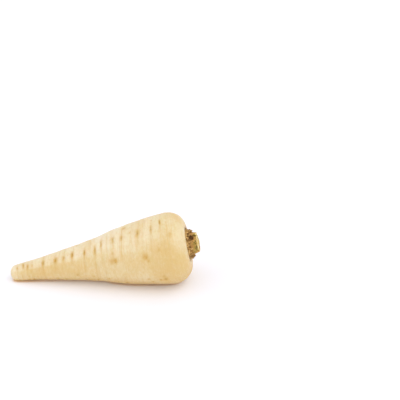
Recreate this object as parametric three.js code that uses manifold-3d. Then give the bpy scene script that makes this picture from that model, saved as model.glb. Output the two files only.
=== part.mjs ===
// A raw parsnip with its leaves trimmed off, lying on its side. Millimetres, +Z up.
// The root runs along X, its blunt tip towards -X and its crown towards +X. It rests on z = 0 on two
// small flattened spots, one under the belly and one under the tip. The origin is the middle of its
// bounding box, on the surface it lies on.
//
// Three solids, one for each tissue that has a colour of its own:
//   taproot           the cream root, with rings, rootlet scars and a hollow in the crown
//   dry_leaf_bases    the brown, corky scales that old leaves left round the crown
//   leaf_stalk_stubs  the bundle of green leaf stalks, cut off just above the crown
//
// Along the root, u is the distance from the tip on the root's own axis. Round it, an angle of 0 is the
// near side, towards -Y, and 90 degrees is the top.

import * as THREE from "three";
import { mergeVertices } from "three/addons/utils/BufferGeometryUtils.js";
import Module from "manifold-3d";

// ---- Driving dimensions -------------------------------------------------------------------------

const ROOT_LENGTH = 131.6; // tip to the rim of the shoulder
const BELLY_RADIUS = 26; // the widest place, just behind the shoulder
const STUB_HEIGHT = 7.6; // how far the cut stalks stand out past the rim
const PIECE_GAP = 0.3; // clearance that keeps touching tissues apart
const FLAT_DEPTH = 0.5; // how deep the resting spots are pressed in

const AROUND = 36; // points round the root
const degrees = THREE.MathUtils.degToRad;

// A repeatable draw from 0 to 1 for each whole number.
function draw(n) {
  const x = Math.sin(n * 12.9898 + 4.1414) * 43758.5453;
  return x - Math.floor(x);
}

// ---- The root's outline -------------------------------------------------------------------------

// From the tip to the middle of the crown's hollow: distance from the tip as a share of the length,
// and radius as a share of the belly's.
const OUTLINE = [
  [0, 0],
  [0.004, 0.12],
  [0.019, 0.2],
  [0.054, 0.236],
  [0.166, 0.308],
  [0.277, 0.396],
  [0.398, 0.504],
  [0.506, 0.618],
  [0.612, 0.765],
  [0.727, 0.88],
  [0.826, 0.962],
  [0.889, 1],
  [0.93, 0.978],
  [0.966, 0.88],
  [0.99, 0.74],
  [0.998, 0.6],
  [0.995, 0.485],
  [0.98, 0.445],
  [0.966, 0.4],
  [0.964, 0.2],
  [0.964, 0],
];
const HOLLOW_FLOOR = 0.964 * ROOT_LENGTH;
const HOLLOW_RADIUS = 0.445 * BELLY_RADIUS;

// A smooth curve through the stations, cut into short equal steps. A "place" on the outline counts
// these steps from the tip.
const STEPS = 1200;
const outlineCurve = new THREE.CatmullRomCurve3(
  OUTLINE.map(([u, r]) => new THREE.Vector3(u * ROOT_LENGTH, r * BELLY_RADIUS, 0)),
);
const outlinePoints = outlineCurve.getSpacedPoints(STEPS);
const stepsPerMm = STEPS / outlineCurve.getLength();
const bellyPlace = outlinePoints.reduce((best, p, i) => (p.y > outlinePoints[best].y ? i : best), 0);
const rimPlace = outlinePoints.reduce((best, p, i) => (p.x > outlinePoints[best].x ? i : best), 0);

// The outline's point and outward normal at a place in outlinePoints, which may lie between two.
function outlineAt(place) {
  const low = Math.min(Math.floor(place), STEPS - 1);
  const [a, b] = [outlinePoints[low], outlinePoints[low + 1]];
  const point = a.clone().lerp(b, place - low);
  const along = b.clone().sub(a).normalize();
  return { u: point.x, r: point.y, normalU: -along.y, normalR: along.x };
}

// The place on the outline, between the tip and the belly, that is u from the tip.
function placeOf(u) {
  const next = outlinePoints.findIndex((p) => p.x >= u);
  const [a, b] = [outlinePoints[next - 1], outlinePoints[next]];
  return next - 1 + (u - a.x) / (b.x - a.x);
}

// ---- Rings and rootlet scars --------------------------------------------------------------------

// Side rootlets grow in four rows down the root and leave a short scar across it where each was. These
// are the near row's scars, each by its distance from the tip and its angle. They also set where the
// root's rings lie.
const NEAR_SCARS = [
  [6.1, 59],
  [10.7, 68],
  [14, 53],
  [17.6, 56],
  [26.3, 53],
  [35.7, 50],
  [41.8, 52],
  [48.1, 56],
  [57.2, 50],
  [65.3, 50],
  [70.3, 62],
  [79.4, 62],
  [85.5, 61],
  [96.9, 62],
  [106.5, 64],
  [113.4, 73],
];
const SCAR_ROWS = 4;
const SCAR_ROW_START = 52; // degrees, where the near row leaves the tip
const SCAR_ROW_TWIST = 14; // degrees that a row winds round by the shoulder
const SCAR_LENGTH = 5.2; // across the root
const SCAR_DEPTH = 0.55;
const RING_DEPTH = 0.36;
const RING_HALF_WIDTH = 0.8;
const WIDEST_RING_GAP = 7; // a faint ring fills any gap wider than this
const RING_SLANT = 0.1; // how much nearer the crown its upper side is, as a share of its height
const RING_WAVER = 0.35; // and how far it wavers as it goes round
const SHOULDER = 0.94 * ROOT_LENGTH;
const STRAIGHTENS_OVER = 12; // rings straighten out over this length at the tip and at the shoulder
const LAST_RING = 119.5; // the one ring past the scars, where the shoulder begins

const rings = NEAR_SCARS.flatMap(([u, nearScar], i) => {
  const next = NEAR_SCARS[i + 1]?.[0] ?? u;
  const between = u + (next - u) * (0.4 + 0.2 * draw(i));
  return next - u > WIDEST_RING_GAP ? [{ u, nearScar }, { u: between }] : [{ u, nearScar }];
}).concat({ u: LAST_RING });

// A bump of height 1 at 0 that falls smoothly to 0 at plus and minus 1.
function bump(x) {
  return Math.abs(x) < 1 ? Math.cos((x * Math.PI) / 2) ** 2 : 0;
}

// The smallest turn from one angle to another, from -180 to 180 degrees.
function turn(from, to) {
  return THREE.MathUtils.euclideanModulo(to - from + 180, 360) - 180;
}

// How deep ring number i is cut at an angle in degrees: two arcs, and a scar at each rootlet row.
function ringDepth(i, angle, radius) {
  const { u, nearScar } = rings[i];
  const arcs = [0, 1].map((k) => {
    const centre = 360 * draw(10 * i + k + 1);
    const half = 50 + 90 * draw(10 * i + k + 3);
    return (0.45 + 0.55 * draw(10 * i + k + 5)) * bump(turn(centre, angle) / half);
  });
  let depth = RING_DEPTH * Math.max(...arcs);
  for (let row = 0; row < SCAR_ROWS && nearScar !== undefined; row++) {
    const strayed = 12 * (draw(10 * i + row + 80) - 0.5);
    const rowAngle = SCAR_ROW_START + row * (360 / SCAR_ROWS) + (SCAR_ROW_TWIST * u) / ROOT_LENGTH;
    const centre = row === 0 ? nearScar : rowAngle + strayed;
    const kept = row === 0 || draw(10 * i + row + 60) > 0.4;
    const half = THREE.MathUtils.radToDeg(SCAR_LENGTH / 2 / radius);
    if (kept) depth = Math.max(depth, SCAR_DEPTH * bump(turn(centre, angle) / (1.6 * half)));
  }
  return depth;
}

// The flesh is never quite round: it has two broad lobes and swells a little between its rings.
function lobes(u, angle) {
  const a = degrees(angle);
  return 0.014 * Math.cos(2 * a - 2.44 + u / 400) + 0.008 * Math.cos(3 * a - u / 26);
}

// ---- How it lies --------------------------------------------------------------------------------

// A taper rests on its belly and its tip, so its axis leans up towards the crown.
const TIP_REST = 7;
const BELLY_REST = 114;
const tipRest = outlineAt(placeOf(TIP_REST));
const bellyRest = outlineAt(placeOf(BELLY_REST));
const lean = Math.atan2(bellyRest.r - tipRest.r, BELLY_REST - TIP_REST);
const axisDirection = new THREE.Vector3(Math.cos(lean), 0, Math.sin(lean));
const upDirection = new THREE.Vector3(-Math.sin(lean), 0, Math.cos(lean));

// The root bows slightly, up and to one side, most of all a little nearer the tip.
const BOW_UP = 0.9;
const BOW_SIDE = -1.1;

// The crown is a little aslant, with its underside further out by this share of its width, and its
// hollow is a little above the axis.
const CROWN_SLANT = 0.015;
const CROWN_LIFT = 0.7;

// The lying root's point at u, with a radius at an angle round it.
function placed(u, radius, angle) {
  const share = THREE.MathUtils.clamp(u / ROOT_LENGTH, 0, 1);
  const bow = Math.sin(Math.PI * share ** 0.75);
  const a = degrees(angle);
  const nearCrown = share ** 4;
  const slant = CROWN_SLANT * nearCrown * radius * Math.sin(a);
  const lift = CROWN_LIFT * nearCrown * (1 - (radius / BELLY_RADIUS) ** 2);
  return new THREE.Vector3()
    .addScaledVector(axisDirection, u - slant)
    .addScaledVector(upDirection, BOW_UP * bow + lift + radius * Math.sin(a))
    .add(new THREE.Vector3(0, BOW_SIDE * bow - radius * Math.cos(a), 0));
}

// ---- Geometry helpers ---------------------------------------------------------------------------

// Closes rows of points, each row one turn round, with a point at either end.
function skin(rows, startPoint, endPoint) {
  const around = rows[0].length;
  const points = [startPoint, ...rows.flat(), endPoint];
  const end = points.length - 1;
  const at = (row, k) => 1 + row * around + (k % around);
  const faces = [];
  for (let k = 0; k < around; k++) {
    faces.push(0, at(0, k), at(0, k + 1));
    faces.push(end, at(rows.length - 1, k + 1), at(rows.length - 1, k));
    for (let row = 0; row < rows.length - 1; row++) {
      faces.push(at(row, k), at(row + 1, k), at(row + 1, k + 1));
      faces.push(at(row, k), at(row + 1, k + 1), at(row, k + 1));
    }
  }
  const geometry = new THREE.BufferGeometry().setFromPoints(points);
  geometry.setIndex(faces);
  return geometry;
}

const wasm = await Module();
wasm.setup();

// A closed geometry as a solid that can be joined to others.
function solidOf(geometry) {
  const bare = geometry.clone();
  bare.deleteAttribute("normal");
  bare.deleteAttribute("uv");
  const merged = mergeVertices(bare, 1e-4);
  return new wasm.Manifold(
    new wasm.Mesh({
      numProp: 3,
      vertProperties: new Float32Array(merged.attributes.position.array),
      triVerts: new Uint32Array(merged.index.array),
    }),
  );
}

// The geometries joined into one body, as a geometry again.
function fused(geometries) {
  const joined = geometries.map(solidOf).reduce((all, piece) => all.add(piece));
  const { numProp, vertProperties, triVerts } = joined.getMesh();
  const geometry = new THREE.BufferGeometry();
  geometry.setAttribute("position", new THREE.BufferAttribute(vertProperties, numProp));
  geometry.setIndex(new THREE.BufferAttribute(triVerts, 1));
  return geometry;
}

function piece(name, geometry, colour, roughness) {
  const flat = geometry.toNonIndexed();
  flat.computeVertexNormals();
  const material = new THREE.MeshStandardMaterial({ color: colour, roughness, metalness: 0 });
  const mesh = new THREE.Mesh(flat, material);
  mesh.name = name;
  return mesh;
}

// ---- The taproot --------------------------------------------------------------------------------

// Rows of points lie closer together where there is something to show: three for each ring, one for
// each station of the outline at the tip and round the crown, and an even spread between them.
const TAPER_ROW_GAP = 3.6;
const CROWN_ROW_GAP = 2.4;

function rootRows() {
  const ringRows = rings.flatMap(({ u }, ring) => [
    { place: placeOf(u - RING_HALF_WIDTH) },
    { place: placeOf(u), ring },
    { place: placeOf(u + RING_HALF_WIDTH) },
  ]);
  const fine = 50;
  const lengths = outlineCurve.getLengths(fine * (OUTLINE.length - 1));
  const stationRows = OUTLINE.map((_, i) => ({ place: lengths[fine * i] * stepsPerMm })).filter(
    ({ place }, i) => i > 0 && i < OUTLINE.length - 1 && (i < 4 || place > bellyPlace),
  );
  const rows = [...ringRows, ...stationRows].sort((a, b) => a.place - b.place);
  return rows.flatMap((row, i) => {
    const gap = (rows[i + 1]?.place ?? row.place) - row.place;
    const widest = (row.place < bellyPlace ? TAPER_ROW_GAP : CROWN_ROW_GAP) * stepsPerMm;
    const parts = Math.max(1, Math.ceil(gap / widest));
    const between = Array.from({ length: parts - 1 }, (_, k) => row.place + (gap * (k + 1)) / parts);
    return [row, ...between.map((place) => ({ place }))];
  });
}

// Rings lie aslant, with their upper side nearer the crown, and waver. This is how far the skin at an
// angle is shifted along the root for that, in mm. It fades out towards the tip and the shoulder.
function ringShift(place, angle) {
  const { u, r } = outlineAt(place);
  const a = degrees(angle);
  const inside = Math.min(u, SHOULDER - u) / STRAIGHTENS_OVER;
  const fade = place > rimPlace ? 0 : THREE.MathUtils.clamp(inside, 0, 1);
  return fade * (RING_SLANT * r * Math.sin(a) + RING_WAVER * Math.sin(2 * a + u / 9));
}

function rootPoint({ place, ring }, angle) {
  const { u, r, normalU, normalR } = outlineAt(place + ringShift(place, angle) * stepsPerMm);
  const fade = place > rimPlace ? 0 : Math.min(1, r / (0.3 * BELLY_RADIUS));
  const radius = r * (1 + fade * lobes(u, angle));
  const depth = ring === undefined ? 0 : ringDepth(ring, angle, r);
  return placed(u - depth * normalU, radius - depth * normalR, angle);
}

function taproot() {
  const angles = Array.from({ length: AROUND }, (_, k) => -90 + (360 * k) / AROUND);
  const rows = rootRows().map((row) => angles.map((angle) => rootPoint(row, angle)));
  const ends = [placed(0, 0, 0), placed(HOLLOW_FLOOR, 0, 0)];
  const lowest = Math.min(...rows.flat().map((p) => p.z));
  const points = [...rows.flat(), ...ends];
  for (const p of points) p.z = Math.max(0, p.z - lowest - FLAT_DEPTH);
  return { geometry: skin(rows, ...ends), drop: lowest + FLAT_DEPTH };
}

// ---- The crown ----------------------------------------------------------------------------------

// Both crown pieces are made standing up, from the floor of the hollow at z = 0.
const RIM_HEIGHT = ROOT_LENGTH - HOLLOW_FLOOR;
const COLLAR_OUTSIDE = HOLLOW_RADIUS - PIECE_GAP - 0.35;
const COLLAR_WALL = 1.5;
const SCALE_FOOT = 1.6;
const BUNDLE_RADIUS = COLLAR_OUTSIDE - COLLAR_WALL - PIECE_GAP;
const BUNDLE_TOP = RIM_HEIGHT + STUB_HEIGHT;

// The whole crown curves upwards as it lies: by the square of the way to its cut end.
const TIP_OFFSET = 1.8;
function curvedUp(geometry) {
  const { position } = geometry.attributes;
  for (let i = 0; i < position.count; i++) {
    position.setX(i, position.getX(i) - TIP_OFFSET * (position.getZ(i) / BUNDLE_TOP) ** 2);
  }
  return geometry;
}

// A curved plate standing on the floor: a piece of a pipe's wall that narrows to a blunt point and leans
// in towards the stalks it clasps.
function scale({ angle, halfWidth, inside, outside, height, lean }) {
  const steps = 4;
  const wall = (radius, share, side) => {
    const a = degrees(angle + side * halfWidth * (1 - 0.6 * share ** 2));
    const leaning = radius - lean * share ** 2;
    const drop = 0.2 * height * share * side ** 2;
    return new THREE.Vector3(leaning * Math.cos(a), leaning * Math.sin(a), height * share - drop);
  };
  const sides = Array.from({ length: steps + 1 }, (_, k) => -1 + (2 * k) / steps);
  const rows = [0, 0.45, 0.8, 1].map((share) => [
    ...sides.map((side) => wall(outside, share, side)),
    ...sides.toReversed().map((side) => wall(inside, share, side)),
  ]);
  const middle = (row) => row.reduce((sum, p) => sum.add(p), new THREE.Vector3()).divideScalar(row.length);
  return skin(rows.toReversed(), middle(rows.at(-1)), middle(rows[0]));
}

// Old leaves rot away to a ring of brown scales, in two whorls that overlap like tiles.
function dryLeafBases() {
  const SCALES = 22;
  const floor = PIECE_GAP;
  const inner = COLLAR_OUTSIDE - COLLAR_WALL;
  const ring = new THREE.LatheGeometry(
    [
      [inner, floor],
      [COLLAR_OUTSIDE - 1.4, floor],
      [COLLAR_OUTSIDE, floor + SCALE_FOOT],
      [COLLAR_OUTSIDE, RIM_HEIGHT - 0.6],
      [COLLAR_OUTSIDE - 0.5, RIM_HEIGHT + 0.5],
      [inner, RIM_HEIGHT + 0.9],
      [inner, floor],
    ].map(([x, y]) => new THREE.Vector2(x, y)),
    32,
  ).rotateX(Math.PI / 2);
  const scales = Array.from({ length: SCALES }, (_, i) => {
    const outer = i % 2;
    return scale({
      angle: (360 / SCALES) * (i + 0.5 * draw(i + 200)),
      halfWidth: 9 + 5 * draw(i + 220),
      inside: inner + 0.02 + 0.3 * outer,
      outside: COLLAR_OUTSIDE - 0.1 + 0.15 * outer,
      height: RIM_HEIGHT - SCALE_FOOT + 1.8 + 2.2 * draw(i + 240) - 1.1 * outer,
      lean: 0.6 + 0.4 * draw(i + 260) - 0.3 * outer,
    }).translate(0, 0, floor + SCALE_FOOT);
  });
  return curvedUp(fused([ring, ...scales]));
}

// A stalk's base is a crescent that clasps the ones inside it. It leans in, has a rib down each side
// and is cut across its top.
function stalkStub({ angle, distance, halfSpan, thickness, height, lean }) {
  const steps = 8;
  const sides = Array.from({ length: steps + 1 }, (_, k) => -1 + (2 * k) / steps);
  const edge = (share, side, outward) => {
    const a = degrees(angle + halfSpan * side);
    const thin = thickness * (1 - 0.6 * side ** 4) * (1 + 0.1 * Math.cos(7 * side));
    const radius = distance - thickness / 2 + (outward ? thin : 0);
    const leaning = radius * (1 - lean * share ** 1.5);
    const slope = (0.3 * outward + 0.4 * side ** 2) * share;
    return new THREE.Vector3(leaning * Math.cos(a), leaning * Math.sin(a), height * share - slope);
  };
  const rows = [0, 0.4, 0.7, 0.88, 1].map((share) => [
    ...sides.map((side) => edge(share, side, 1)),
    ...sides.toReversed().map((side) => edge(share, side, 0)),
  ]);
  const middleOf = (row) => row[steps / 2].clone().lerp(row[row.length - 1 - steps / 2], 0.5);
  return skin(rows.toReversed(), middleOf(rows.at(-1)), middleOf(rows[0]));
}

// The stalks leave the crown a golden angle apart. The outer ones are cut a little lower.
function leafStalkStubs() {
  const STALKS = 11;
  const GOLDEN_ANGLE = 137.508;
  const CONE = 0.2; // how much narrower the bundle is at its cut end
  const floor = PIECE_GAP;
  const core = new THREE.LatheGeometry(
    [
      [0, floor],
      [0.93 * BUNDLE_RADIUS, floor],
      [0.88 * BUNDLE_RADIUS, RIM_HEIGHT],
      [0.62 * BUNDLE_RADIUS, BUNDLE_TOP - 2.2],
      [0.3 * BUNDLE_RADIUS, BUNDLE_TOP - 1.3],
      [0, BUNDLE_TOP - 1.3],
    ].map(([x, y]) => new THREE.Vector2(x, y)),
    24,
  ).rotateX(Math.PI / 2);
  const stubs = Array.from({ length: STALKS }, (_, i) => {
    const inward = i / (STALKS - 1);
    return stalkStub({
      angle: i * GOLDEN_ANGLE,
      distance: BUNDLE_RADIUS * (0.86 - 0.68 * inward ** 1.2),
      halfSpan: 40 + 32 * inward,
      thickness: 2.4 - 0.9 * inward,
      height: BUNDLE_TOP + 0.1 - floor - (1 - inward) * 0.3 - 0.5 * draw(i + 300),
      lean: CONE,
    }).translate(0, 0, floor);
  });
  return curvedUp(fused([core, ...stubs]));
}

// ---- Assembly -----------------------------------------------------------------------------------

const parsnip = new THREE.Group();
parsnip.name = "parsnip";
const root = taproot();
parsnip.add(piece("taproot", root.geometry, 0xf0dcae, 0.55));

// The crown pieces stand on the hollow's floor, square to it.
const crown = new THREE.Group();
crown.position.copy(placed(HOLLOW_FLOOR, 0, 0)).sub(new THREE.Vector3(0, 0, root.drop));
crown.rotation.y = Math.PI / 2 - lean - Math.atan(CROWN_SLANT);
crown.add(piece("dry_leaf_bases", dryLeafBases(), 0x8a6238, 0.85));
crown.add(piece("leaf_stalk_stubs", leafStalkStubs(), 0xb9ad62, 0.7));
parsnip.add(crown);

// The origin goes to the middle of the bounding box, on the surface below.
parsnip.updateMatrixWorld(true);
const middle = new THREE.Box3().setFromObject(parsnip, true).getCenter(new THREE.Vector3());
parsnip.position.set(-middle.x, -middle.y, 0);

export default parsnip;
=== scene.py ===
# %% [markdown]
# # A raw parsnip, dressed
#
# A parsnip is one fat, pale taproot. Its skin is thin and matt, crossed by fine rings where the root
# thickened, and by short brown slits where rootlets broke through. At the crown a brown, crumbly collar
# of dead leaf bases clasps a short bundle of green leaf stalks, cut off by the grower.
#
# The solid model already fixes every size. This lesson grows a finer skin over each of its three solids.
# All shapes are worked out in millimetres with numpy and turned to metres at the very end.

import bpy
import numpy as np
from mathutils import Euler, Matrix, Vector


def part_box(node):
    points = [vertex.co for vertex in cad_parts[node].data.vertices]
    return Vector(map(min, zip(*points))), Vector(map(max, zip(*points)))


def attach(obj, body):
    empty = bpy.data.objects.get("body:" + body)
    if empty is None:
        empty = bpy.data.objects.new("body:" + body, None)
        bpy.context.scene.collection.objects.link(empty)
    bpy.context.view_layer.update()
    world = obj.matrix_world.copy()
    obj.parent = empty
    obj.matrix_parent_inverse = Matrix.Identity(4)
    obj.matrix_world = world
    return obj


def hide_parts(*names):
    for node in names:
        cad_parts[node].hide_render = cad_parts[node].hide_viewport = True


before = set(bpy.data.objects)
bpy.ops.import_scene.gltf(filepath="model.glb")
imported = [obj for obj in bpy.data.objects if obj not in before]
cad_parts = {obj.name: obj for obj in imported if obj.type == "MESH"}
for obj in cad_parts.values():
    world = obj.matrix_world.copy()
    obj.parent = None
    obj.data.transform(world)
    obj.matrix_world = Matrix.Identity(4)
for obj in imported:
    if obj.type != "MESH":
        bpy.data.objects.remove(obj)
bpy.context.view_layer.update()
scene = bpy.context.scene
MM = 0.001
root_low, root_high = (np.array(corner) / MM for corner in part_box("taproot"))
print("solid nodes:", sorted(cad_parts))
print("taproot from", root_low.round(1), "to", root_high.round(1), "mm")

# %% [markdown]
# ## Chance that repeats
#
# Grown things are irregular, but a lesson has to give the same parsnip each time. So each random number
# is a fixed function of a whole number. A smooth random field is made in the same way: every corner of a
# lattice gets a fixed random height, and a point between corners blends the eight heights round it.


# %% Repeatable draws and a smooth random field
def draw(number):
    """A value from 0 to 1 for each whole number: the fraction left of a large multiple of its sine."""
    x = np.sin(np.asarray(number, float) * 12.9898 + 4.1414) * 43758.5453
    return x - np.floor(x)


def corner_height(x, y, z, seed):
    """A value from -1 to 1 for each lattice corner: its whole numbers scrambled by odd multipliers."""
    mixed = (x * 73856093) ^ (y * 19349663) ^ (z * 83492791) ^ (seed * 2654435761)
    mixed = (mixed ^ (mixed >> 13)) * 1274126177
    return ((mixed ^ (mixed >> 16)) & 0xFFFFFF) / 0x7FFFFF - 1.0


def drift(points, seed):
    """A smooth field from -1 to 1 over points (..., 3): the corners' heights, blended by 3t^2 - 2t^3."""
    cell = np.floor(points).astype(np.int64)
    share = points - cell
    share = share * share * (3 - 2 * share)
    total = np.zeros(points.shape[:-1])
    for corner in np.ndindex(2, 2, 2):
        step = np.array(corner)
        weight = np.prod(np.where(step == 1, share, 1 - share), axis=-1)
        x, y, z = np.moveaxis(cell + step, -1, 0)
        total += weight * corner_height(x, y, z, seed)
    return total


def bump(x):
    """A hill of height 1 at 0 that falls smoothly to 0 at plus and minus 1: a squared cosine."""
    return np.where(np.abs(x) < 1, np.cos(np.clip(x, -1, 1) * np.pi / 2) ** 2, 0.0)


def ridge(x):
    """A bell of height 1 at 0: e to the power of minus x squared."""
    return np.exp(-np.clip(x * x, 0, 40))


def ramp(x, low, high):
    """A share that rises evenly from 0 at low to 1 at high and is held beyond them."""
    return np.clip((x - low) / (high - low), 0, 1)


def turn(start, end):
    """The smallest turn from one angle to another, from -180 to 180 degrees."""
    return (end - start + 180) % 360 - 180


print("three draws:", draw(np.arange(3)).round(3))

# %% [markdown]
# ## Skins from grids
#
# Every piece here is a closed skin: rows of points, each row once round, laid one after another. Such a
# grid needs only two rules for its faces, one along the rows and one that closes the ends. A fat root
# closes to a single point at each end. A thin scale or a crescent stalk would tangle if it did, so its
# end is closed by a ladder of rungs from its outer edge to its inner edge.


# %% Faces for one grid
def grid_faces(rows, around):
    """Four-sided faces between neighbouring rows, with the last column joined to the first."""
    row = np.arange(rows - 1)[:, None] * around
    here = np.arange(around)
    after = (here + 1) % around
    corners = [row + here, row + around + here, row + around + after, row + after]
    return np.stack(corners, axis=-1).reshape(-1, 4)


def fan_ends(rows, around):
    """Three-sided faces from the first and last rows to two points that follow the grid's own."""
    here = np.arange(around)
    after = (here + 1) % around
    end = (rows - 1) * around
    start_fan = np.stack([np.full(around, rows * around), here, after], axis=-1)
    end_fan = np.stack([np.full(around, rows * around + 1), end + after, end + here], axis=-1)
    return np.concatenate([start_fan, end_fan])


def ladder_ends(rows, around):
    """Four-sided rungs across the first and last rows, from the outer edge's points to the inner edge's."""
    here = np.arange(around // 2 - 1)
    across = around - 1 - here
    start = np.stack([here, here + 1, across - 1, across], axis=-1)
    end = start[:, ::-1] + (rows - 1) * around
    return np.concatenate([start, end])


# %% A mesh from many skins at once
def signed_volume(points, faces):
    """The volume that triangles enclose: a sixth of the sum of each one's triple product."""
    a, b, c = (points[faces[:, k]] for k in range(3))
    return np.einsum("ij,ij->", a, np.cross(b, c)) / 6


def new_object(name, data):
    """An object in the scene that shows this data, at the origin and unturned."""
    thing = bpy.data.objects.new(name, data)
    scene.collection.objects.link(thing)
    return thing


def make_skin(name, points, faces, paints):
    """A smooth mesh object from points (skins, points, 3) in mm and one skin's faces.

    paints holds values for each point, under the name that a material reads them by.
    """
    skins, each, _ = points.shape
    flat = points.reshape(-1, 3)
    triangles = [block[:, [0, k, k + 1]] for block in faces for k in range(1, block.shape[1] - 1)]
    inside_out = signed_volume(points[0], np.concatenate(triangles)) < 0
    shift = (np.arange(skins) * each)[:, None, None]
    turned = [block[:, ::-1] if inside_out else block for block in faces]
    blocks = [(block[None] + shift).reshape(-1, block.shape[1]) for block in turned]
    sizes = np.concatenate([np.full(len(block), block.shape[1]) for block in blocks])

    mesh = bpy.data.meshes.new(name)
    mesh.vertices.add(len(flat))
    mesh.vertices.foreach_set("co", (flat * MM).astype(np.float32).ravel())
    mesh.loops.add(int(sizes.sum()))
    mesh.loops.foreach_set("vertex_index", np.concatenate([block.ravel() for block in blocks]))
    mesh.polygons.add(len(sizes))
    mesh.polygons.foreach_set("loop_start", np.cumsum(sizes) - sizes)
    mesh.polygons.foreach_set("use_smooth", np.ones(len(sizes), bool))
    for paint, values in paints.items():
        kind, part = ("FLOAT_VECTOR", "vector") if values.ndim == points.ndim else ("FLOAT", "value")
        layer = mesh.attributes.new(paint, kind, "POINT")
        layer.data.foreach_set(part, values.astype(np.float32).ravel())
    mesh.update(calc_edges=True)
    print(f"{name}: {skins} skins, {int((sizes - 2).sum())} triangles")
    return new_object(name, mesh)


# %% [markdown]
# ## The root's outline
#
# The root is a turned shape before it is anything else: a profile carried round an axis. A few stations
# give the profile, from the blunt tip through the long, slightly hollow taper to the belly, round the
# tight shoulder and down into the little hollow that holds the crown. A smooth curve through the stations
# is better than many measured points: it has no wobble of its own, so all unevenness can be put on by
# rule afterwards.

# %% Stations and a smooth curve through them
ROOT_LENGTH = 131.6
BELLY_RADIUS = 26.0
OUTLINE = np.array(
    [
        (0, 0), (0.004, 0.12), (0.019, 0.2), (0.054, 0.236), (0.166, 0.308), (0.277, 0.396),
        (0.398, 0.504), (0.506, 0.618), (0.612, 0.765), (0.727, 0.88), (0.826, 0.962), (0.889, 1),
        (0.93, 0.978), (0.966, 0.88), (0.99, 0.74), (0.998, 0.6), (0.995, 0.485), (0.98, 0.445),
        (0.966, 0.4), (0.964, 0.2), (0.964, 0),
    ]
) * (ROOT_LENGTH, BELLY_RADIUS)
HOLLOW_FLOOR = OUTLINE[-1, 0]
HOLLOW_RADIUS = OUTLINE[-4, 1]


def curve_through(stations, steps):
    """Even steps along a curve through the stations.

    Between two stations it is a cubic, whose slope at each station is set by the two neighbours, with the
    square root of each gap as the pace (a centripetal curve, which never loops).
    """
    ends = np.concatenate([[2 * stations[0] - stations[1]], stations, [2 * stations[-1] - stations[-2]]])
    pace = np.sqrt(np.linalg.norm(np.diff(ends, axis=0), axis=1))[:, None]
    before, here, after = pace[:-2], pace[1:-1], pace[2:]
    p0, p1, p2, p3 = ends[:-3], ends[1:-2], ends[2:-1], ends[3:]
    slope1 = (p1 - p0) / before - (p2 - p0) / (before + here) + (p2 - p1) / here
    slope2 = (p2 - p1) / here - (p3 - p1) / (here + after) + (p3 - p2) / after
    slope1, slope2 = slope1 * here, slope2 * here
    t = np.linspace(0, 1, 60, endpoint=False)[:, None, None]
    cubic = (
        (2 * t**3 - 3 * t**2 + 1) * p1
        + (t**3 - 2 * t**2 + t) * slope1
        + (3 * t**2 - 2 * t**3) * p2
        + (t**3 - t**2) * slope2
    )
    points = np.concatenate([cubic.transpose(1, 0, 2).reshape(-1, 2), stations[-1:]])
    length = np.append(0, np.cumsum(np.linalg.norm(np.diff(points, axis=0), axis=1)))
    even = np.linspace(0, length[-1], steps)
    return np.stack([np.interp(even, length, points[:, k]) for k in range(2)], axis=-1)


ROWS = 622
AROUND = 154
outline = curve_through(OUTLINE, ROWS + 2)[1:-1]
along, radius = outline.T
slope = np.gradient(outline, axis=0)
slope /= np.linalg.norm(slope, axis=1)[:, None]
belly_row = int(np.argmax(radius))
rim_row = int(np.argmax(along))
ROW_GAP = np.linalg.norm(outline[1] - outline[0])
angles = -90 + 360 * np.arange(AROUND) / AROUND
print(f"rows {ROW_GAP:.2f} mm apart, columns {2 * np.pi * BELLY_RADIUS / AROUND:.2f} mm")

# %% [markdown]
# ## How it lies
#
# A taper laid on a board rests on its belly and on its tip, so its axis climbs towards the crown. Two more
# habits of a real root go in here, because everything on the skin follows them: it bows a little, and its
# crown sits slightly askew.

# %% From root coordinates to the board
TIP_REST = 7.0
BELLY_REST = 114.0
BOW_UP = 0.9
BOW_SIDE = -1.1
CROWN_SLANT = 0.015
CROWN_LIFT = 0.7
taper_along, taper_radius = along[:belly_row], radius[:belly_row]
rest_radii = np.interp([TIP_REST, BELLY_REST], taper_along, taper_radius)
lean = np.arctan2(rest_radii[1] - rest_radii[0], BELLY_REST - TIP_REST)
AXIS = np.array([np.cos(lean), 0, np.sin(lean)])
UP = np.array([-np.sin(lean), 0, np.cos(lean)])
SIDE = np.array([0, 1.0, 0])


def round_axis(out, turned, along_it):
    """Points at a distance from an axis, turned round it by radians, at a place along it."""
    return np.stack(np.broadcast_arrays(out * np.cos(turned), out * np.sin(turned), along_it), axis=-1)


def placed(u, r, angle):
    """Points at u along the axis and r out from it.

    The axis leans, bows by a sine that peaks nearer the tip, and lifts and slants with the fourth power of
    the way to the crown. An angle of 0 is the near side and 90 degrees is the top.
    """
    share = np.clip(u / ROOT_LENGTH, 0, 1)
    bow = np.sin(np.pi * share**0.75)
    rise, out = r * np.sin(np.radians(angle)), r * np.cos(np.radians(angle))
    slant = CROWN_SLANT * share**4 * rise
    lift = CROWN_LIFT * share**4 * (1 - (r / BELLY_RADIUS) ** 2)
    parts = (u - slant, BOW_UP * bow + lift + rise, BOW_SIDE * bow - out)
    return sum(part[..., None] * way for part, way in zip(parts, (AXIS, UP, SIDE)))


print(f"the axis leans {np.degrees(lean):.1f} degrees")

# %% [markdown]
# ## Rings and rootlet scars
#
# Rootlets leave a taproot in four rows that wind slowly round it, and each leaves a slit across the root
# with corky lips. Rings run out from many of these slits and fade part of the way round. Both are sums of
# bells: one factor says how far along the root a mark reaches, another how far round. A product of two
# small tables then carves all marks at once, which is much faster than one mark at a time.

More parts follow.
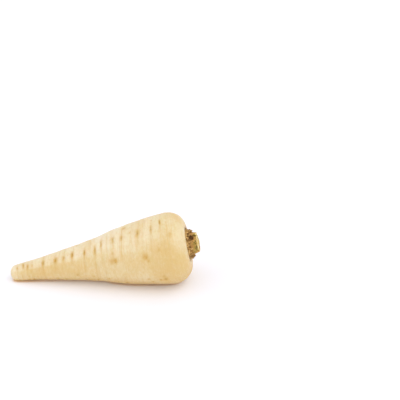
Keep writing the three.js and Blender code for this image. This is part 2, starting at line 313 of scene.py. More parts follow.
# %% Where the rings and scars are
# The near row, scar by scar: mm from the tip, degrees round, then its length, width and strength as
# shares of a common scar's, and how many mm its golden tail trails down the side.
NEAR_SCARS = np.array(
    [
        (6.1, 59, 0.5, 0.7, 0.6, 1), (10.7, 68, 0.8, 1, 0.8, 2), (14, 53, 0.7, 1, 0.75, 3),
        (17.6, 56, 0.5, 0.9, 0.4, 2), (26.3, 52, 0.85, 1.4, 0.82, 8), (35.7, 50, 0.75, 1.45, 1, 5),
        (41.8, 52, 0.6, 1.1, 0.75, 3), (48.1, 55, 0.9, 1.2, 1.1, 5), (57.2, 51, 0.95, 1.05, 1, 8),
        (65.3, 50, 1.25, 1.05, 0.8, 9), (70.3, 62, 1.35, 0.9, 0.75, 10), (79.4, 62, 1.15, 1.35, 0.6, 8),
        (85.5, 61, 0.95, 1.2, 0.62, 9), (96.9, 62, 1.05, 1.45, 0.66, 8),
        (106.5, 64, 1.4, 0.9, 0.64, 11), (113.4, 73, 0.8, 0.85, 1.3, 5),
    ]
)
SCAR_ROWS = 4
SCAR_ROW_START = 52.0
SCAR_ROW_TWIST = 14.0
LOW_ROW_DROP = 16.0
WIDEST_RING_GAP = 7.0
LAST_RING = 119.5
RING_SLANT = 0.1
RING_WAVER = 0.35
SHOULDER = 0.94 * ROOT_LENGTH
STRAIGHTENS_OVER = 12.0

scar_station = NEAR_SCARS[:, 0]
gaps = np.append(np.diff(scar_station), 0)
between = scar_station + gaps * (0.4 + 0.2 * draw(np.arange(len(gaps))))
ring_at = np.sort(np.concatenate([scar_station, between[gaps > WIDEST_RING_GAP], [LAST_RING]]))
print(len(ring_at), "rings, the first at", ring_at[:4].round(1), "mm")


# %% Marks as bells along and round the root
def across(centres, half_spans):
    """How strongly each mark shows at each angle: a bump of its half span, one row for each mark."""
    return bump(turn(centres[:, None], angles) / half_spans[:, None])


def lengthwise(places, widths):
    """How strongly each mark shows in each row: a bell of its width, one column for each mark."""
    bells = ridge((along[:, None] - places) / widths)
    bells[belly_row:] *= along[belly_row:, None] < SHOULDER
    bells[rim_row - 6 :] = 0
    return bells


def carve(places, widths, centres, half_spans, strengths):
    """The sum of all marks over the whole skin: lengthwise bells times round-the-root bumps."""
    return lengthwise(places, widths) @ (strengths[:, None] * across(centres, half_spans))


def degrees_round(length, places):
    """The angle that a length across the root takes up at a place along it."""
    return np.degrees(length / np.interp(places, taper_along, taper_radius))


# %% The rings
ring = np.arange(len(ring_at))
arc_depths = [
    (0.45 + 0.55 * draw(10 * ring + k + 5))[:, None]
    * across(360 * draw(10 * ring + k + 1), 50 + 90 * draw(10 * ring + k + 3))
    for k in (0, 1)
]
# Rings and panels show most round an angle near the top of the near side, and hardly at all on the other.
MOST_MARKED_ANGLE = 80
marked_side = 0.05 + 0.95 * np.clip(np.cos(np.radians(angles - MOST_MARKED_ANGLE)), 0, 1)
ring_pull = np.maximum(*arc_depths) * (0.2 + 0.8 * marked_side)
ring_groove = lengthwise(ring_at, 0.4) @ ring_pull
ring_valley = lengthwise(ring_at, 1.0) @ ring_pull
ring_lip = lengthwise(ring_at + 1.2, 0.8) @ ring_pull

FINE_RINGS = 260
fine = np.arange(FINE_RINGS)
fine_at = 3 + 118 * draw(fine + 1000)
fine_rings = carve(
    fine_at,
    0.2 + 0.2 * draw(fine + 1300),
    360 * draw(fine + 1600),
    8 + 40 * draw(fine + 1900) ** 2 + degrees_round(4, fine_at),
    0.2 + 0.8 * draw(fine + 2200) ** 2,
)
print("deepest overlap of fine rings:", fine_rings.max().round(2))

# %% Wrinkles that circle the crown
SHOULDER_WRINKLES = 44
wrinkle = np.arange(SHOULDER_WRINKLES)
way_along = ROW_GAP * np.arange(ROWS)
belly_way, rim_way = way_along[[belly_row, rim_row]]
wrinkle_at = belly_way + 2 + (rim_way - belly_way - 2) * draw(wrinkle + 4000)
wrinkle_width = 0.25 + 0.25 * draw(wrinkle + 4100)
wrinkle_bells = ridge((way_along[:, None] - wrinkle_at) / wrinkle_width)
wrinkle_arcs = across(360 * draw(wrinkle + 4200), 20 + 70 * draw(wrinkle + 4300))
wrinkle_depth = 0.3 + 0.7 * draw(wrinkle + 4400)
shoulder_wrinkles = wrinkle_bells @ (wrinkle_depth[:, None] * wrinkle_arcs)
print("the shoulder is", (rim_way - belly_way).round(1), "mm of outline")

# %% The rootlet scars
row_number = np.repeat(np.arange(1, SCAR_ROWS), len(ring_at))
ring_of_scar = np.tile(ring, SCAR_ROWS - 1)
scar_draw = 10 * ring_of_scar + row_number
grows = np.isin(ring_at, scar_station)[ring_of_scar] & (draw(scar_draw + 60) > 0.4)
row_number, scar_draw, row_at = row_number[grows], scar_draw[grows], ring_at[ring_of_scar[grows]]
row_angle = SCAR_ROW_START + row_number * (360 / SCAR_ROWS) + SCAR_ROW_TWIST * row_at / ROOT_LENGTH
other_scars = (
    row_at,
    row_angle + 12 * (draw(scar_draw + 80) - 0.5) - LOW_ROW_DROP * (row_number == SCAR_ROWS - 1),
    0.5 + 0.8 * draw(scar_draw + 700),
    0.8 + 0.6 * draw(scar_draw + 780),
    0.4 + 0.6 * draw(scar_draw + 740),
    2 + 9 * draw(scar_draw + 820),
)
scars = np.concatenate([NEAR_SCARS.T, other_scars], axis=1)
scar_at, scar_angle, scar_length, scar_width, scar_strength, scar_tail = scars
tail_way = np.append(-np.ones(len(NEAR_SCARS)), np.where(draw(scar_draw + 860) < 0.5, -1, 1))


def scar_marks(half_length, width):
    """Every scar as one bell, half_length mm to each side round the root and width mm along it."""
    half_spans = degrees_round(half_length * scar_length, scar_at)
    return carve(scar_at, width * scar_width, scar_angle, half_spans, scar_strength)


scar_slit = scar_marks(3.4, 0.5)
scar_lips = scar_marks(4.4, 1.3)
scar_halo = scar_marks(5.4, 1.15)
scar_tails = carve(
    scar_at,
    0.8 * scar_width,
    scar_angle + tail_way * degrees_round(0.8 * scar_tail, scar_at),
    degrees_round(scar_tail + 0.5, scar_at),
    scar_strength,
)
print(len(scar_at), "rootlet scars")

# %% Corky spots, where the skin was rubbed or breathed
# Those of the near side: mm from the tip, degrees round, size in mm and strength.
SPOTS = np.array(
    [
        (80.2, 18, 1.3, 0.8), (77, 18, 1.9, 0.35), (79, 33, 1.1, 0.3), (101.6, 19, 1.6, 0.5),
        (103, 17, 0.9, 0.6), (104, 11, 0.7, 0.55), (91.6, 68, 0.6, 0.3), (111.6, 27, 0.8, 0.35),
        (122.1, 48, 1.5, 0.3), (51.3, -17, 1, 0.55), (62.6, -24, 0.8, 0.4), (73.3, -32, 0.7, 0.5),
        (93.4, -47, 0.8, 0.6), (102.5, -28, 0.9, 0.45), (105, -38, 0.7, 0.9), (111, -31, 0.7, 1.1),
        (114.2, -29, 0.9, 1.5), (113.6, -21, 1.2, 0.4), (14.3, -9, 0.6, 0.2), (20.1, -20, 0.6, 0.25),
    ]
)
MORE_SPOTS = 46
spot = np.arange(MORE_SPOTS)
more_spots = (
    8 + 110 * draw(spot + 3000),
    80 + 230 * draw(spot + 3100),
    0.4 + 1.2 * draw(spot + 3200) ** 3,
    0.4 + 0.35 * draw(spot + 3300),
)
spot_at, spot_angle, spot_size, spot_strength = np.concatenate([SPOTS.T, more_spots], axis=1)


def spot_marks(size):
    """Every spot as one round bell, size times as wide as the spot's own size."""
    half_spans = degrees_round(2.1 * size * spot_size, spot_at)
    return carve(spot_at, size * spot_size, spot_angle, half_spans, spot_strength)


spots = spot_marks(1.0)
spot_halo = spot_marks(1.9)

# %% The shade between two rings
panel_shade = np.where(along < LAST_RING, draw(np.searchsorted(ring_at, along) + 2500), 0.5) - 0.5
panel_shade = np.convolve(panel_shade, np.ones(4) / 4, mode="same")
panels = 0.5 + panel_shade[:, None] * marked_side
ring_band = lengthwise(ring_at, 1.5) @ (0.3 + 0.7 * ring_pull) * marked_side
print(len(spot_at), "corky spots")

# %% [markdown]
# ## The skin of the root
#
# Now the turned shape gets its unevenness: two broad lobes that keep it from being quite round, lumps a
# thumb wide, faint wrinkles stretched round the root, and then the marks. Relief is pushed along the
# profile's own normal, so it also works on the steep shoulder. Where the root would dip below the board
# it is pressed flat, as its own weight presses it.


# %% Relief and the finished surface
def unbent(u, r, turned):
    """Places on the root as if its axis were straight and level: along it, towards the near side and up."""
    return np.roll(round_axis(r, turned, u), 1, axis=-1)


TWO_LOBES, THREE_LOBES = 0.014, 0.008
turned = np.radians(angles)
before_rim = np.arange(ROWS)[:, None] < rim_row
inside_both = np.minimum(along, SHOULDER - along)[:, None]
shift_fade = np.where(before_rim, ramp(inside_both, 0, STRAIGHTENS_OVER), 0)
aslant = RING_SLANT * radius[:, None] * np.sin(turned)
wavering = RING_WAVER * np.sin(2 * turned + along[:, None] / 9)
shifted = way_along[:, None] + shift_fade * (aslant + wavering)
grid_u, grid_r, slope_u, slope_r = (
    np.interp(shifted, way_along, values) for values in (along, radius, *slope.T)
)
fade = np.where(before_rim, ramp(grid_r, 0, 0.3 * BELLY_RADIUS), 0)

lobes = TWO_LOBES * np.cos(2 * turned - 2.44 + grid_u / 400)
lobes += THREE_LOBES * np.cos(3 * turned - grid_u / 26)
skin = unbent(grid_u, grid_r, turned)

lumps = 0.26 * drift(skin / (17, 13, 13), 1) + 0.14 * drift(skin / (6, 8, 8), 2)
wrinkles = 0.05 * drift(skin / (1.4, 5, 5), 3) + 0.03 * drift(skin / (0.7, 2, 2), 4)
# Each mark's relief in mm: below zero it cuts in, above zero it stands out.
marks = (
    -0.07 * ring_groove
    - 0.16 * ring_valley
    + 0.1 * ring_lip
    - 0.06 * fine_rings
    - 0.05 * shoulder_wrinkles
    - 0.36 * scar_slit
    + 0.14 * scar_lips
    - 0.12 * spots
)
relief = (lumps + wrinkles) * fade + marks
skin_u = grid_u - relief * slope_r
skin_r = grid_r * (1 + fade * lobes) + relief * slope_u

root_points = placed(skin_u, skin_r, angles)
poles = placed(np.array([0.0, HOLLOW_FLOOR]), np.zeros(2), np.zeros(2))
root_points = np.concatenate([root_points.reshape(-1, 3), poles])
print(f"relief runs from {relief.min():.2f} to {relief.max():.2f} mm")

# %% Set on the board, in the solid's own place
PRESSED = 0.5
low, high = root_points.min(axis=0), root_points.max(axis=0)
to_middle = (root_low[1] + root_high[1]) / 2 - (low[1] + high[1]) / 2
to_board = np.array([root_low[0] - low[0], to_middle, -low[2] - PRESSED])
root_points += to_board
root_points[:, 2] = np.maximum(root_points[:, 2], 0)
print("skin reaches", root_points.max(axis=0).round(1), "and the solid", root_high.round(1))

# %% [markdown]
# ## Where the skin has other colours
#
# A root is not one cream all over. It is worn at the tip and stained round the crown. Painted shade makes
# it tawny below, where it faces down, and golden on the flanks, and a painted highlight makes the side that
# faces up pale. The marks' own bells colour the rest. Each of these becomes a value for every point of the
# skin, and the finish reads it by its name.

# %% Stains at both ends, and painted shade below
WORN_TIP = 1.6
STAIN_REACH = 7.0
rim_distance = np.clip((grid_r - HOLLOW_RADIUS) / STAIN_REACH, 0, 1)
stain_round = 0.45 + 0.55 * np.clip(np.sin(turned - np.radians(20)), 0, 1)
crown_stain = np.where(grid_u > 0.95 * ROOT_LENGTH, (1 - rim_distance) * stain_round, 0)

# Painted shade: the skin that faces down is painted tawny, most where it faces straight down.
shaded_underside = ramp(-np.sin(turned), 0.35, 0.75) * before_rim
print("stained points:", int((crown_stain > 0).sum()))

# %% Warm and pale patches, with a painted highlight on the shoulder
# Warm patches, and pale ones with a minus: mm from the tip, degrees round, size in mm and strength. The
# pale ones at 129 and 130 mm from the tip are a painted highlight where the shoulder's edge turns to the
# light.
PATCHES = np.array(
    [
        (116, 14, 13, 1.1), (110, 4, 7, 0.35), (100, -5, 12, 0.5), (64, 12, 10, 0.5), (88, 24, 5, 0.35),
        (38, 12, 10, 0.4), (20, 10, 8, 0.5), (3, 50, 6, -0.7), (112, 130, 16, 0.8), (84, 160, 14, 0.6),
        (60, 100, 9, 0.4), (40, 190, 12, 0.6), (104, 215, 15, 0.7), (70, 250, 12, 0.5),
        (130, 40, 7, -1.1), (129, 24, 5, -0.5), (124, 30, 6, 0.5), (111, 36, 6, 0.35),
        (124, 54, 6, 0.7), (129, -10, 11, 1.3), (112, -20, 7, 0.4), (100, -20, 6, -0.4),
        (129, 88, 8, 1.1), (117, 68, 12, -0.7), (92, 52, 10, -0.6), (74, 46, 9, -0.6),
        (54, 48, 9, -0.5), (30, 46, 8, -0.4), (120, 175, 12, -0.8), (66, 205, 12, -0.6),
        (92, 280, 14, -0.8),
    ]
)
patch_at, patch_angle, patch_size, patch_strength = PATCHES.T
patch_middle = unbent(patch_at, np.interp(patch_at, taper_along, taper_radius), np.radians(patch_angle))
patch_distance = np.linalg.norm(skin[:, :, None] - patch_middle, axis=-1)
warmth_and_painted_light = (patch_strength * ridge(patch_distance / patch_size)).sum(axis=-1)
print(f"warmth from {warmth_and_painted_light.min():.2f} to {warmth_and_painted_light.max():.2f}")

# %% A painted highlight on the top and painted shade on the flanks
# How pale a painted highlight makes the side that faces up and how golden a painted shade makes the flanks:
# mm from the tip and a share for each. Both end where the skin has turned so many degrees from the top.
PALE_ENDS, PALE_FULL = 57, 39
GOLD_STARTS, GOLD_FULL, GOLD_FADES, GOLD_ENDS = 53, 63, 95, 135
FACES_UP = np.array(
    [
        (3, 0.8, 0.2), (15, 0.5, 0.5), (30, 0.5, 0.85), (40, 0.4, 0.7), (52, 0.95, 1.05),
        (61, 0.65, 0.05), (74, 1.2, 0), (88, 0.25, 0.4), (100, 0.55, 0.05), (114, 0, 0),
    ]
)
from_top = np.abs(turn(90, angles)) + 6 * drift(skin / (7, 4, 4), 51)
top_light, shaded_flank = (np.interp(along, FACES_UP[:, 0], FACES_UP[:, k])[:, None] for k in (1, 2))
lit_top = top_light * ramp(from_top, PALE_ENDS, PALE_FULL) * before_rim
# Painted shade: the flanks are painted golden, added to the warm patches.
warmth_and_painted_light += shaded_flank * ramp(from_top, GOLD_STARTS, GOLD_FULL) * ramp(from_top, GOLD_ENDS, GOLD_FADES)
print(f"with golden flanks, up to {warmth_and_painted_light.max():.2f}")

# %% The root's mesh
MOST_WARMTH = 1.15
root_paints = {
    "scar": scar_slit,
    "halo": scar_halo,
    "ring": ring_groove,
    "fine_ring": fine_rings + 0.5 * shoulder_wrinkles,
    "tail": scar_tails,
    "spot": spots,
    "spot_halo": spot_halo,
    "panel": panels,
    "ring_band": ring_band,
    "pale_and_lit": -warmth_and_painted_light,
    "shaded_underside": shaded_underside,
    "worn_tip": 1 - grid_u / WORN_TIP,
    "crown_stain": crown_stain,
}
root_paints = {name: np.clip(values, 0, 1) for name, values in root_paints.items()}
root_paints |= {"skin": skin, "warm": np.clip(warmth_and_painted_light, 0, MOST_WARMTH), "lit_top": lit_top}


def with_poles(values):
    """The grid's values in one row, with two more for the points that close its ends."""
    flat = values.reshape(-1, *values.shape[2:])
    return np.concatenate([flat, flat[:1], flat[-1:]])[None]


root_skin = make_skin(
    "root_skin",
    root_points[None],
    [grid_faces(ROWS, AROUND), fan_ends(ROWS, AROUND)],
    {name: with_poles(values) for name, values in root_paints.items()},
)

# %% [markdown]
# ## Where the crown stands
#
# The collar and the stalks are easier to shape standing up, on the floor of the hollow. One small matrix
# then lays them along the root.

# %% From the standing crown to the lying root
crown_lean = lean + np.arctan(CROWN_SLANT)
level, upright = np.cos(crown_lean), np.sin(crown_lean)
crown_ways = np.array([(upright, 0, -level), (0, 1, 0), (level, 0, upright)])
crown_foot = poles[1] + to_board

PIECE_GAP = 0.3
STUB_HEIGHT = 7.6
RIM_HEIGHT = ROOT_LENGTH - HOLLOW_FLOOR
COLLAR_OUTSIDE = HOLLOW_RADIUS - PIECE_GAP - 0.35
COLLAR_WALL = 1.5
BUNDLE_RADIUS = COLLAR_OUTSIDE - COLLAR_WALL - PIECE_GAP
BUNDLE_TOP = RIM_HEIGHT + STUB_HEIGHT
TIP_OFFSET = 0.6


def laid(points):
    """Standing points, in mm from the hollow's floor, laid along the root.

    The whole crown curves upwards as it lies, by the square of the way to its cut end.
    """
    curve = TIP_OFFSET * (points[..., 2] / BUNDLE_TOP) ** 2
    return points @ crown_ways + crown_foot - curve[..., None] * crown_ways[0]


print("the crown's foot is at", crown_foot.round(1), "mm")

# %% [markdown]
# ## The leaf stalks
#
# Parsnip leaves clasp each other like celery, so each cut stalk is a crescent, the old ones outside and
# the young ones curled in the middle. New leaves come a golden angle apart. Each crescent here is a strip
# carried up a leaning path: round its edge run an outer and an inner side, with ribs on the outer one.
# The last rows turn over the cut edge, so the cut catches light as flesh does, not as a sharp plate.

# %% Crescents carried up a path
STALKS = 11
GOLDEN_ANGLE = 137.508
CONE = 0.2
SIDE_STEPS = 54
UP_STEPS = 54


def per_piece(values):
    """Values for each piece, shaped to spread over its rows and its way round."""
    return np.asarray(values, float)[:, None, None]


def edge_way(steps):
    """One trip round a strip: across its outer side from -1 to 1, then back across its inner side."""
    side = np.linspace(-1, 1, steps)
    return np.append(side, side[::-1]), np.repeat([1.0, 0.0], steps)


stalk = np.arange(STALKS)
inward = stalk / (STALKS - 1)
side, outer = edge_way(SIDE_STEPS)
share = np.append(np.linspace(0, 1, UP_STEPS) ** 0.8, [1, 1])[None, :, None]
tuck = np.append(np.zeros(UP_STEPS), [0.35, 0.8])[None, :, None]
tuck_drop = np.append(np.zeros(UP_STEPS), [-0.12, -0.3])[None, :, None]

stalk_angle = per_piece(stalk * GOLDEN_ANGLE)
half_span = per_piece(47 + 25 * inward)
thickness = per_piece(2.4 - 0.9 * inward) * (1 - 0.6 * side**4) * (1 + 0.07 * np.cos(7 * side))
distance = per_piece(BUNDLE_RADIUS * (0.86 - 0.68 * inward**1.2))
height = per_piece(BUNDLE_TOP + 0.1 - PIECE_GAP - (1 - inward) * 0.3 - 0.5 * draw(stalk + 300))

ribs = 0.1 * np.abs(np.sin(13 * side + 2 * per_piece(draw(stalk + 340)))) * outer
to_face = np.where(outer > 0, 0.5, -0.5) * thickness * (1 - tuck)
out = (distance + to_face + ribs * (1 - tuck)) * (1 - CONE * share**1.5)
turned_by = np.radians(stalk_angle + half_span * side * (1 - 0.05 * tuck))
cut_slope = (0.3 * outer + 0.4 * side**2) * share
rise = height * share - cut_slope + tuck_drop

stalk_points = round_axis(out, turned_by, rise)
uneven = drift(stalk_points / 2.2, 11)[..., None] * 0.16 + drift(stalk_points / 0.7, 12)[..., None] * 0.05
radial = stalk_points * (1, 1, 0) / np.maximum(np.hypot(stalk_points[..., :1], stalk_points[..., 1:2]), 1)
stalk_points = stalk_points + uneven * radial
stalk_points[..., 2] += 0.22 * drift(stalk_points / 1.3, 13) * share**6
stalk_points[..., 2] += PIECE_GAP
stalk_shape = stalk_points.shape[:3]
print(STALKS, "stalks up to", stalk_points[..., 2].max().round(1), "mm above the hollow's floor")

# %% Their bruises and green patches
# Where the outer stalks are bruised: degrees round, mm up from the hollow's floor, size in mm and depth.
BRUISES = np.array(
    [
        (214, 7.9, 0.7, 0.8), (208, 8.9, 0.6, 0.8), (194, 10.1, 0.5, 0.3), (189, 10.9, 0.4, 0.3),
        (243, 9.4, 0.5, 0.15), (252, 10.2, 0.6, 0.25), (268, 10.5, 0.5, 0.2), (282, 10.4, 0.7, 0.3),
        (318, 9, 0.5, 0.35), (40, 8.6, 0.8, 0.5), (118, 9.6, 0.7, 0.4),
    ]
)
# And where they have stayed green: degrees round, mm up and size in mm.
GREEN_PATCHES = np.array(
    [(250, 9.9, 1.9), (274, 10.2, 1.7), (296, 10.4, 1.2), (192, 10.8, 0.8), (20, 9.6, 1.4), (150, 9, 1.2)]
)


def outside_marks(places):
    """Marks seen from outside: a bell of each mark's size over the way round and the way up to it."""
    angle, height, size = places.T[:3]
    way_round = np.radians(turn(stalk_turn[..., None], angle)) * BUNDLE_RADIUS
    way_up = stalk_points[..., 2:] - height
    return ridge(np.hypot(way_round, way_up) / size)


stalk_turn = np.degrees(np.arctan2(stalk_points[..., 1], stalk_points[..., 0]))
bruised = outside_marks(BRUISES)
stalk_points -= radial * (bruised @ BRUISES[:, 3])[..., None]
print(len(BRUISES), "bruises")

# %% The stalks' mesh
stalk_paints = {
    "height": stalk_points[..., 2] / BUNDLE_TOP,
    "cut": np.maximum(np.clip(tuck * 3, 0, 1), np.clip((share - 0.962) / 0.03, 0, 0.8)),
    "tint": per_piece(draw(stalk + 360)),
    "bruise": bruised.max(axis=-1),
    "green": outside_marks(GREEN_PATCHES).max(axis=-1),
}


def flat_paints(paints, shape):
    """Each paint's values, spread to the shape of a stack of grids, in one row for each skin."""
    return {name: np.broadcast_to(values, shape).reshape(shape[0], -1) for name, values in paints.items()}


leaf_stalks = make_skin(
    "cut_leaf_stalks",
    laid(stalk_points.reshape(STALKS, -1, 3)),
    [faces(*stalk_shape[1:]) for faces in (grid_faces, ladder_ends)],
    flat_paints(stalk_paints, stalk_shape),
)

# %% [markdown]
# ## The heart of the bundle
#
# Between the crescents one sees down to brown, half rotten tissue. A single rough cone fills the bundle,
# low enough that the stalks stand out of it and the gaps between them stay dark.

# %% A rough cone
CORE_ROWS = 60
CORE_AROUND = 72
CORE_TOP = BUNDLE_TOP - 1.8
core_outline = curve_through(
    np.array(
        [(PIECE_GAP, 0.0), (PIECE_GAP, 0.9), (RIM_HEIGHT, 0.86)]
        + [(CORE_TOP - 1.2, 0.6), (CORE_TOP - 0.2, 0.36), (CORE_TOP, 0.0)]
    )
    * (1, BUNDLE_RADIUS),
    CORE_ROWS + 2,
)[1:-1]
core_turn = 2 * np.pi * np.arange(CORE_AROUND) / CORE_AROUND
core_height, core_radius = core_outline[:, :1], core_outline[:, 1:]
core = round_axis(core_radius, core_turn, core_height)
core = core + core * (0.05, 0.05, 0) * drift(core / 1.4, 21)[..., None]
core[..., 2] += 0.35 * drift(core / 1.1, 22) * (core_height > RIM_HEIGHT)
core_poles = np.array([(0, 0, PIECE_GAP), (0, 0, CORE_TOP)])
core_points = np.concatenate([core.reshape(-1, 3), core_poles])[None]
crown_heart = make_skin(
    "crown_heart",
    laid(core_points),
    [grid_faces(CORE_ROWS, CORE_AROUND), fan_ends(CORE_ROWS, CORE_AROUND)],
    {"height": core_points[..., 2] / BUNDLE_TOP},
)

# %% [markdown]
# ## The dry collar
#
# Old leaves rot down to brown scales, papery and split, in whorls that overlap like tiles. One formula
# makes them all: a piece of a pipe's wall that narrows to a point, leans in and has a frayed top edge. The
# broad scales repeat the solid's own. Many narrow shreds between them give the crumbly look.


# %% One formula for scales and shreds
def browned(angle):
    """How far the collar has rotted to dark brown: a hill over the angle, on its lower near side."""
    return bump(turn(302, angle) / 34)


def collar_plates(name, angle, half_width, inside, outside, foot, height, lean_in, fray, seed):
    """Curved plates, standing: narrower as the square of the way up, leaning in by the square too.

    The top edge drops towards both sides and is frayed by a smooth random field of strength fray.
    """
    steps, rows = 13, 12
    way, face = edge_way(steps)
    up = np.linspace(0, 1, rows)[None, :, None]
    pieces = len(angle)
    tint = per_piece(np.maximum(0.6 * draw(np.arange(pieces) + 31 * seed), browned(angle)))
    angle, half_width, inside, outside, height, lean_in = map(
        per_piece, (angle, half_width, inside, outside, height, lean_in)
    )
    wall = (outside - inside) * (1 - 0.6 * up) * (1 - 0.5 * way**2)
    middle = (inside + outside) / 2
    reach = middle + np.where(face > 0, 0.5, -0.5) * wall - lean_in * up**2
    spread = np.radians(angle + way * half_width * (1 - 0.6 * up**2))
    lift = foot + height * up * (1 - 0.25 * way**2)
    points = round_axis(reach, spread, lift)
    offset = np.arange(pieces)[:, None, None, None] * 3.7
    ragged = drift(points / (1.3, 1.3, 1.8) + offset, seed)
    points[..., :2] *= 1 + 0.02 * ragged[..., None] * up[..., None]
    points[..., 2] += fray * drift(points / (0.6, 0.6, 9) + offset, seed + 1) * up**2
    paints = flat_paints({"height": up, "tint": tint}, points.shape[:3])
    faces = [grid_faces(rows, 2 * steps), ladder_ends(rows, 2 * steps)]
    return make_skin(name, laid(points.reshape(pieces, -1, 3)), faces, paints)


# %% The broad scales
SCALES = 22
SCALE_FOOT = 1.6
scale = np.arange(SCALES)
whorl = scale % 2
inner_wall = COLLAR_OUTSIDE - COLLAR_WALL
dry_scales = collar_plates(
    "dry_scales",
    angle=(360 / SCALES) * (scale + 0.5 * draw(scale + 200)),
    half_width=9 + 5 * draw(scale + 220),
    inside=inner_wall + 0.02 + 0.3 * whorl,
    outside=COLLAR_OUTSIDE - 0.1 + 0.15 * whorl,
    foot=PIECE_GAP + SCALE_FOOT,
    height=RIM_HEIGHT - SCALE_FOOT + 1.8 + 2.2 * draw(scale + 240) - 1.1 * whorl,
    lean_in=0.6 + 0.4 * draw(scale + 260) - 0.3 * whorl,
    fray=0.45,
    seed=31,
)

# %% The shreds between them
SHREDS = 210
shred = np.arange(SHREDS)
shred_angle = 360 * draw(shred + 520)
shred_way_out = draw(shred + 500)
# Above and below the stalks the inner shreds are longer and cling to them.
above, below = bump(turn(158, shred_angle) / 60), bump(turn(335, shred_angle) / 50)
clinging = np.maximum(above, 0.7 * below) * (1 - shred_way_out)
shred_out = inner_wall + 0.15 + (COLLAR_WALL - 0.3) * shred_way_out
dry_shreds = collar_plates(
    "dry_shreds",
    angle=shred_angle,
    half_width=2 + 3.5 * draw(shred + 540),
    inside=shred_out - 0.25,
    outside=shred_out + 0.25,
    foot=RIM_HEIGHT - 1.6,
    height=2.2 + 2.2 * draw(shred + 560) ** 1.5 + 2.6 * clinging,
    lean_in=1.6 * draw(shred + 580) - 0.9 + 2.4 * clinging,
    fray=0.5,
    seed=37,
)

# %% [markdown]
# ## The corky ring under the scales
#
# Below the scales the collar is one corky band, grown fast to the root. It is a ring with a rough top, so
# a profile goes once round a small closed loop, and that loop goes round the crown.

# %% A rough band
BAND_AROUND = 180
BAND_STEPS = 28
loop = 2 * np.pi * np.arange(BAND_STEPS) / BAND_STEPS
band_turn = 2 * np.pi * np.arange(BAND_AROUND) / BAND_AROUND
band_middle = (inner_wall + COLLAR_OUTSIDE) / 2
to_side, to_top = (np.sign(way) * np.abs(way) ** 0.6 for way in (np.cos(loop), np.sin(loop)))
band_out = band_middle + 0.5 * COLLAR_WALL * to_side
band_high = 0.5 * (RIM_HEIGHT + 0.7 + PIECE_GAP) + 0.5 * (RIM_HEIGHT + 0.4) * to_top
band = round_axis(band_out, band_turn[:, None], band_high)
on_top = np.clip(np.sin(loop), 0, 1)
band[..., 2] += (0.45 * drift(band / 1.1, 41) + 0.2 * drift(band / 0.45, 42)) * on_top
band_tint = np.maximum(0.3, browned(np.degrees(band_turn)))
print("corky band's top:", band[..., 2].max().round(1), "mm")

corky_band = make_skin(
    "corky_band",
    laid(band.reshape(1, -1, 3)),
    [grid_faces(BAND_AROUND + 1, BAND_STEPS) % (BAND_AROUND * BAND_STEPS)],
    flat_paints({"height": on_top, "tint": band_tint[:, None]}, (1, BAND_AROUND, BAND_STEPS)),
)

# %% [markdown]
# ## Painting with nodes
#
# A finish is a small graph of nodes. One class keeps the graphs short enough to read as recipes: each of
# its methods adds a node, plugs in what it is given and hands back what comes out. Most colours are made
# by laying others over a first one in turn, each by its own amount.


# %% Helpers for node graphs
WHITE = (1.0, 1.0, 1.0, 1.0)


def colour(red, green, blue):
    """A screen colour, 0 to 255, as the linear light that shaders count in, with full cover."""
    screen = np.array([red, green, blue]) / 255
    linear = np.where(screen <= 0.04045, screen / 12.92, ((screen + 0.055) / 1.055) ** 2.4)
    return (*linear, 1.0)


class Graph:
    """The nodes of a material or a world.

    What a method takes is a plain value, another node's output or the name of one of the mesh's paints.
    """

    def __init__(self, owner):
        owner.use_nodes = True
        self.owner, self.tree = owner, owner.node_tree

    def plug(self, node, inputs):
        """Plug things into a node's sockets, each found by its name or number."""
        for name, value in inputs.items():
            if isinstance(value, str):
                value = self.paint(value, "Fac")
            if isinstance(value, bpy.types.NodeSocket):
                self.tree.links.new(value, node.inputs[name])
            else:
                node.inputs[name].default_value = value

    def shade(self, inputs, shader="Principled BSDF"):
        """Plug things into the shader that the graph ends in."""
        self.plug(self.tree.nodes[shader], inputs)

    def add(self, kind, output, inputs=None, **settings):
        """One of the outputs of a new node."""
        node = self.tree.nodes.new("ShaderNode" + kind)
        for name, value in settings.items():
            setattr(node, name, value)
        self.plug(node, inputs or {})
        return node.outputs[output]

    def paint(self, name, output):
        """What the mesh carries for each point under this name."""
        return self.add("Attribute", output, attribute_name=name, attribute_type="GEOMETRY")

    def speckle(self, place, scale, detail, roughness):
        """Soft random values from 0 to 1."""
        inputs = {"Vector": place, "Scale": scale, "Detail": detail, "Roughness": roughness}
        return self.add("TexNoise", "Fac", inputs)

    def levels(self, value, low, high):
        """A value stretched so that low becomes 0 and high becomes 1, and held between them."""
        return self.add("MapRange", "Result", {"Value": value, "From Min": low, "From Max": high})

    def sums(self, operation, a, b):
        """Two values joined by add, multiply and the like."""
        return self.add("Math", "Value", {0: a, 1: b}, operation=operation)

    def times(self, a, b):
        """Two values multiplied."""
        return self.sums("MULTIPLY", a, b)

    def layers(self, under, *rows):
        """A colour with others laid over it: each row is a colour, its amount and perhaps a strength.

        An amount may be a value and the two levels between which the colour sets in.
        """
        for top, amount, *strength in rows:
            amount = self.levels(*amount) if isinstance(amount, tuple) else amount
            amount = self.times(amount, *strength) if strength else amount
            under = self.add("Mix", 2, {"Factor": amount, 6: under, 7: top}, data_type="RGBA")
        return under

    def relief(self, height, strength, depth):
        """A normal, tilted as if the surface had a relief of so many mm."""
        inputs = {"Height": height, "Strength": strength, "Distance": depth * MM}
        return self.add("Bump", "Normal", inputs)


# %% [markdown]
# ## The root's finish
#
# Parsnip skin is thin and waxy over wet white flesh. Light goes in, wanders a millimetre or two and comes
# out warmer, so the finish needs a little scatter below the surface, not only a cream paint. Over the
# cream lie golden clouds, fine streaks that run round the root, ochre in the rings, brown in the slits,
# and a brown stain where the collar has stood.

